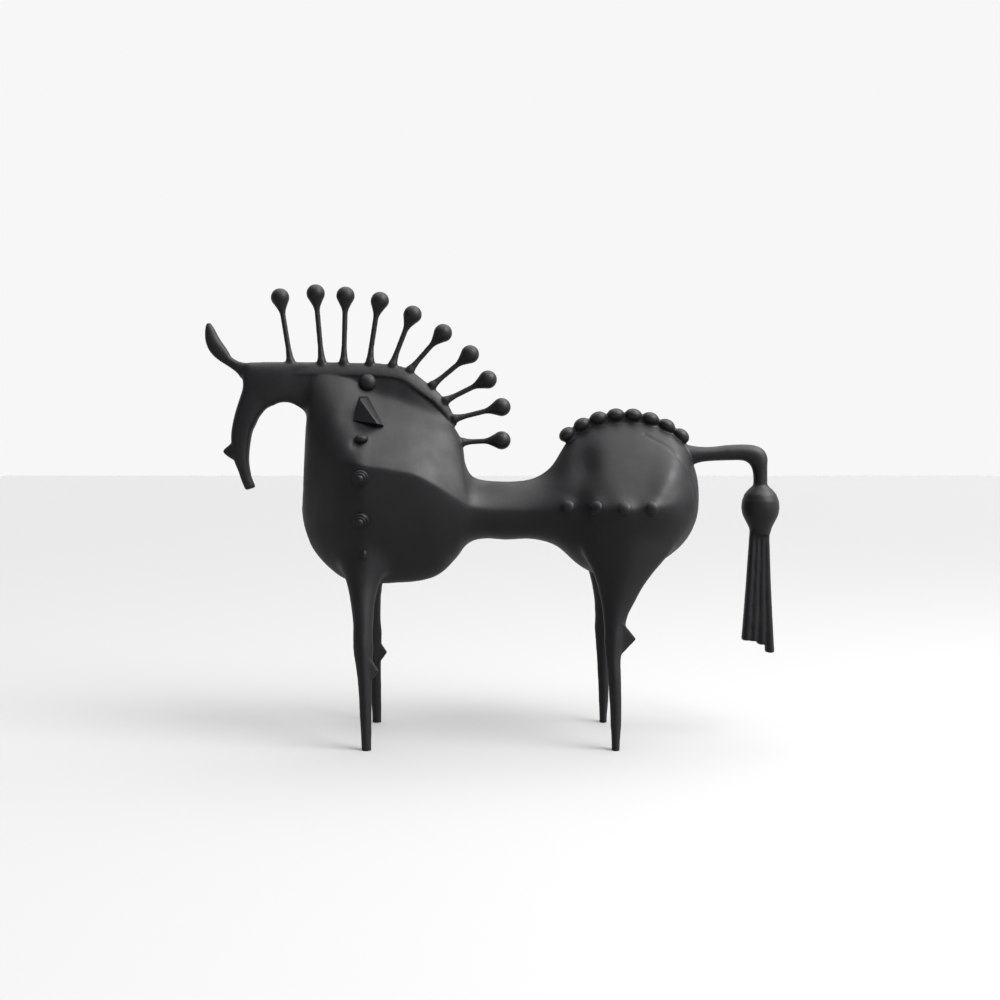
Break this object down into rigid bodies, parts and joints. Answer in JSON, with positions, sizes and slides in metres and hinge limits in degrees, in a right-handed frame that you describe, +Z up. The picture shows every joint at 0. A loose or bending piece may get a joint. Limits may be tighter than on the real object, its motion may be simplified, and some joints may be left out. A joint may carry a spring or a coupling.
{
  "type": "abstract metal horse sculpture",
  "caption": "Slim stylised horse cast in blackened metal, with an arched head, a mane of ball-tipped pins, a beaded rump and a bent tail ending in a tassel.",
  "frame": {"origin": "on the ground under the feet, at the centre of the figure's length and width", "axes": "+Z up, the head towards -X, the tail towards +X, the figure symmetric across Y"},
  "size_m": [0.4591, 0.1145, 0.3607],
  "materials": {
    "black_casting": "satin black over a slightly uneven cast surface"
  },
  "bodies": {
    "root": {"horse": "black_casting"}
  },
  "joints": []
}
